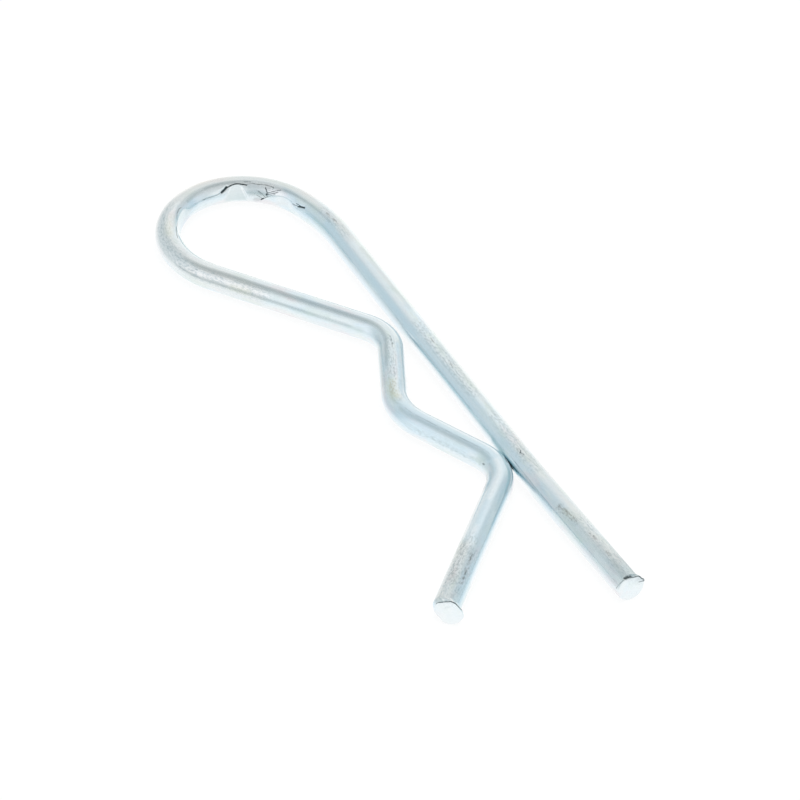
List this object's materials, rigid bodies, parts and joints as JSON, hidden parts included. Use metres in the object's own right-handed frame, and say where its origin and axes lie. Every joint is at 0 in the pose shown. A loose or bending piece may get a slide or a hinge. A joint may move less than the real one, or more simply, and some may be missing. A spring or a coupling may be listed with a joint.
{
  "type": "r clip pin",
  "caption": "Spring wire R clip: a straight leg for a cross hole, and a shaped leg whose bow holds the outside of a shaft.",
  "frame": {"origin": "centre of the shaft that the bow holds: on the straight leg's axis, abreast of the bow's deepest point", "axes": "+X along the straight leg from the loop towards its free end, +Z square to the clip's plane; the shaped leg is on the -Y side"},
  "size_m": [0.1102, 0.0301, 0.0042],
  "materials": {
    "zinc_plated_spring_steel": "bright zinc plate with a clear blue passivation, faint drawing lines along the wire"
  },
  "bodies": {
    "root": {"r_clip": "zinc_plated_spring_steel"}
  },
  "joints": []
}
